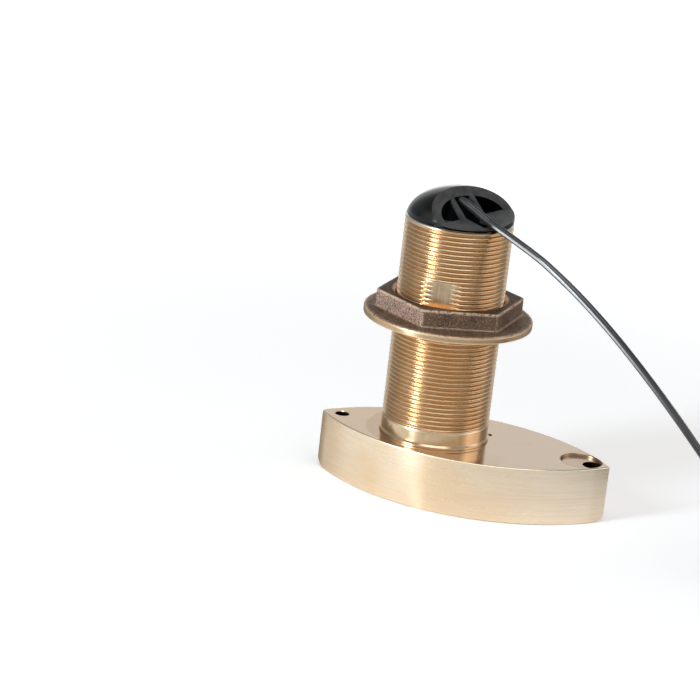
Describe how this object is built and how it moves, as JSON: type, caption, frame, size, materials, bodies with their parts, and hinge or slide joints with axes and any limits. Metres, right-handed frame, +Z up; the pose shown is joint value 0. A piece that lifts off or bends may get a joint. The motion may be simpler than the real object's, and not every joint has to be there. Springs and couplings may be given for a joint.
{
  "type": "sonar transducer",
  "caption": "Bronze through-hull sonar transducer: pointed oval base on a threaded hollow stem with a flanged hull nut, black cable cap and coiled cable to a plug.",
  "frame": {"origin": "on the stem's axis at the flat acoustic face under the base", "axes": "+Z up the stem from the water side to the inside of the hull, +X to the longer tip of the base, +Y across the base"},
  "size_m": [0.3358, 0.0983, 0.1477],
  "materials": {
    "bead_epoxy": "dipped bead",
    "black_lead": "black insulation",
    "board_green": "green board",
    "boot_rubber": "satin dark grey",
    "cable_black": "satin black jacket",
    "cap_black": "glossy black dome, matt cut face",
    "cast_bronze": "belt-brushed cast bronze, pale champagne",
    "copper": "enamelled copper wire",
    "cork": "raw cork",
    "epoxy": "cast black epoxy",
    "ferrite": "sintered ferrite, satin",
    "foam": "closed-cell foam",
    "nut_bronze": "sand-cast bronze, machined rim, worn edges",
    "pin_brass": "bright turned brass",
    "pin_steel": "dark stainless pin end",
    "plug_black": "fine matt",
    "red_lead": "red insulation",
    "seal_rubber": "matt black",
    "silvered_ceramic": "silvered ceramic, satin",
    "spool_plastic": "moulded nylon",
    "stem_bronze": "machined golden bronze",
    "thimble_bronze": "turned bronze",
    "tie_fabric": "black hook-and-loop strap",
    "white_lead": "white insulation",
    "window_urethane": "smooth black urethane"
  },
  "bodies": {
    "housing_assembly": {"acoustic_window": "window_urethane", "back_lead": "red_lead", "bobbin": "spool_plastic", "cable": "cable_black", "cable_cap": "cap_black", "cable_coil": "cable_black", "cable_end": "cable_black", "cap_seal_ring": "seal_rubber", "cavity_fill": "epoxy", "ceramic_disc": "silvered_ceramic", "coil_tie_1": "tie_fabric", "coil_tie_2": "tie_fabric", "core_lower_half": "ferrite", "core_upper_half": "ferrite", "front_lead": "black_lead", "housing": "cast_bronze", "inner_cable": "cable_black", "isolation_sleeve": "cork", "plug_body": "plug_black", "plug_boot": "boot_rubber", "plug_pin_1": "pin_brass", "plug_pin_2": "pin_brass", "plug_pin_3": "pin_brass", "plug_pin_4": "pin_brass", "plug_pin_5": "pin_brass", "pressure_release_pad": "foam", "sensor_lead": "white_lead", "sensor_thimble": "thimble_bronze", "stem": "stem_bronze", "stem_fill": "epoxy", "stem_lock_pin": "pin_steel", "strain_relief": "boot_rubber", "temperature_bead": "bead_epoxy", "terminal_board": "board_green", "transformer_winding": "copper"},
    "hull_nut": {"hull_nut": "nut_bronze"}
  },
  "joints": [
    {"name": "nut_travel", "type": "slide", "parent": "housing_assembly", "child": "hull_nut", "axis": [0, 0, 1], "range_m": [-0.048, 0.026]}
  ]
}
